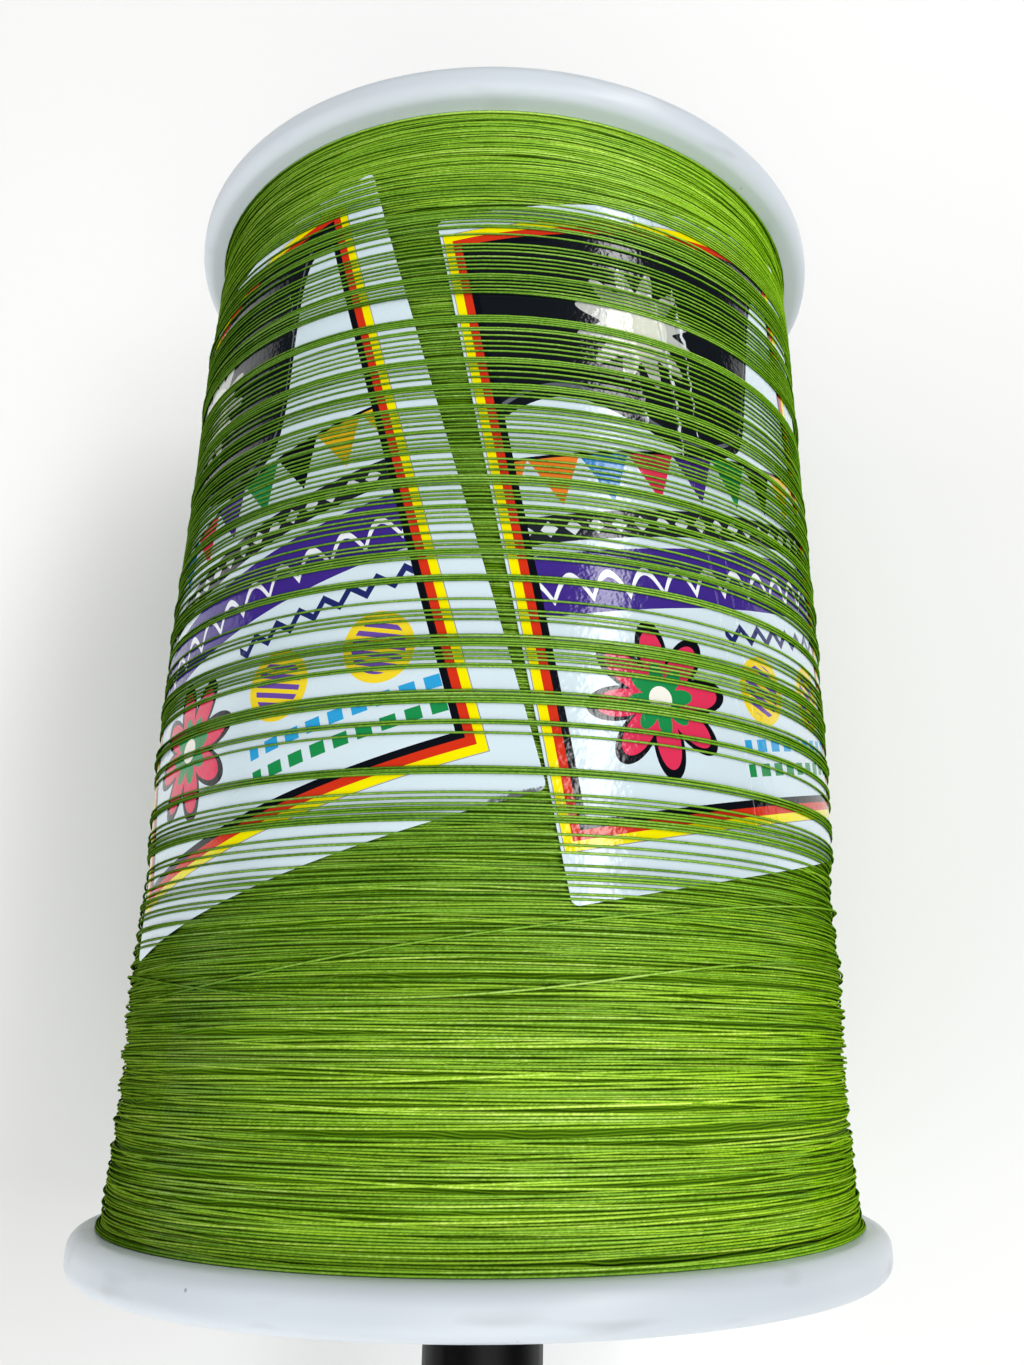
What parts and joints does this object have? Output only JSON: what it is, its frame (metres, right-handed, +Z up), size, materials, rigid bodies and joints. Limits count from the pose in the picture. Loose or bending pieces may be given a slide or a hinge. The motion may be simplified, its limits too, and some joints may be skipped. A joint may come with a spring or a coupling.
{
  "type": "reel of kite string with a handle",
  "caption": "White flanged reel wound full of green kite thread, with two picture labels held under its last turns and a black handle on its axis.",
  "frame": {"origin": "on the resting surface, under the middle of the whole length, handle included", "axes": "+Z up; the reel's axis is level along Y, with the handle towards -Y"},
  "size_m": [0.175, 0.3612, 0.1748],
  "materials": {
    "flange_plastic": "moulded white plastic, softly glossy, faintly blue, with light scuffs",
    "kite_thread": "yellow-green twisted cotton thread with a dull sheen",
    "laminated_label": "glossy laminated picture card",
    "handle_plastic": "plain black moulded plastic"
  },
  "bodies": {
    "root": {"flange_near": "flange_plastic", "flange_far": "flange_plastic", "winding": "kite_thread", "label_left": "laminated_label", "label_right": "laminated_label", "handle": "handle_plastic"}
  },
  "joints": []
}
